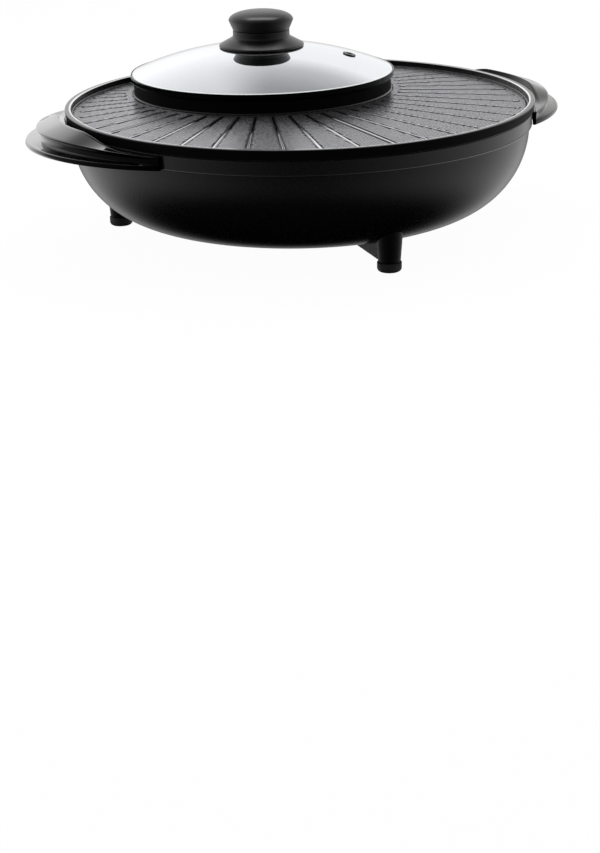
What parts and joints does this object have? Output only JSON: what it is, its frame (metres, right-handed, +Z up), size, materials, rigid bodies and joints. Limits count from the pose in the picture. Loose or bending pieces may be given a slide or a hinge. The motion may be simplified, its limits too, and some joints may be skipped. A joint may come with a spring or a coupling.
{
  "type": "hot pot grill combo",
  "caption": "Round electric tabletop grill plate with a glass-lidded soup pot cast into its rear half, on a deep black body with two side handles and short feet.",
  "frame": {"origin": "on the table, on the axis of the round cooking plate", "axes": "+X towards the right handle, +Y towards the pot at the back, +Z up"},
  "size_m": [0.4898, 0.41, 0.18],
  "materials": {
    "nonstick_casting": "die cast aluminium under a black non-stick coating, fine knurl",
    "shell_paint": "drawn steel, satin black paint",
    "gloss_phenolic": "moulded phenolic, glossy black",
    "satin_phenolic": "moulded phenolic, satin black",
    "socket_plastic": "heat-proof moulding, matt black",
    "pad_rubber": "black rubber",
    "lid_glass": "clear tempered glass",
    "band_steel": "rolled steel band, polished and blackened",
    "lid_steel": "pressed stainless steel, polished",
    "silicone": "grey silicone",
    "reflector_steel": "aluminised sheet steel",
    "sheet_steel": "zinc plated steel",
    "element_sheath": "annealed steel sheath",
    "contact_metal": "nickel plated brass",
    "sleeve_steel": "stainless tube",
    "lead_sleeve": "glass fibre sleeve over nickel wire",
    "screw_steel": "zinc plated steel"
  },
  "bodies": {
    "cooker": {"grill_pan": "nonstick_casting", "body_shell": "shell_paint", "bottom_cover": "shell_paint", "handle_left": "gloss_phenolic", "handle_right": "gloss_phenolic", "foot_front": "satin_phenolic", "foot_rear_left": "satin_phenolic", "foot_rear_right": "satin_phenolic", "socket_housing": "socket_plastic", "foot_pad_front": "pad_rubber", "foot_pad_rear_left": "pad_rubber", "foot_pad_rear_right": "pad_rubber", "heat_reflector": "reflector_steel", "support_post_left": "sheet_steel", "support_post_front_left": "sheet_steel", "support_post_front_right": "sheet_steel", "support_post_right": "sheet_steel", "grill_element_clamp_left": "sheet_steel", "grill_element_clamp_front": "sheet_steel", "grill_element_clamp_right": "sheet_steel", "pot_element_clamp": "sheet_steel", "grill_heating_element": "element_sheath", "pot_heating_element": "element_sheath", "socket_pin_left": "contact_metal", "socket_pin_right": "contact_metal", "probe_sleeve": "sleeve_steel", "grill_lead_outer": "lead_sleeve", "grill_lead_inner": "lead_sleeve", "pot_lead_rear": "lead_sleeve", "pot_lead_front": "lead_sleeve", "support_screw_left": "screw_steel", "support_screw_front_left": "screw_steel", "support_screw_front_right": "screw_steel", "support_screw_right": "screw_steel", "grill_clamp_screw_left": "screw_steel", "grill_clamp_screw_front": "screw_steel", "grill_clamp_screw_right": "screw_steel", "pot_clamp_screw": "screw_steel", "cover_screw_1": "screw_steel", "cover_screw_2": "screw_steel", "cover_screw_3": "screw_steel", "foot_screw_front": "screw_steel", "foot_screw_rear_left": "screw_steel", "foot_screw_rear_right": "screw_steel", "handle_screw_right_front": "screw_steel", "handle_screw_right_rear": "screw_steel", "handle_screw_left_front": "screw_steel", "handle_screw_left_rear": "screw_steel", "socket_screw_left": "screw_steel", "socket_screw_right": "screw_steel"},
    "lid": {"lid_rim_band": "band_steel", "lid_glass": "lid_glass", "vent_eyelet": "lid_steel", "knob_guard": "satin_phenolic", "knob_cap": "satin_phenolic", "knob_cup_washer": "lid_steel", "knob_gasket": "silicone", "knob_screw": "screw_steel"}
  },
  "joints": [
    {"name": "lid_lift", "type": "slide", "parent": "cooker", "child": "lid", "axis": [0, 0, 1], "range_m": [0, 0.15]}
  ]
}
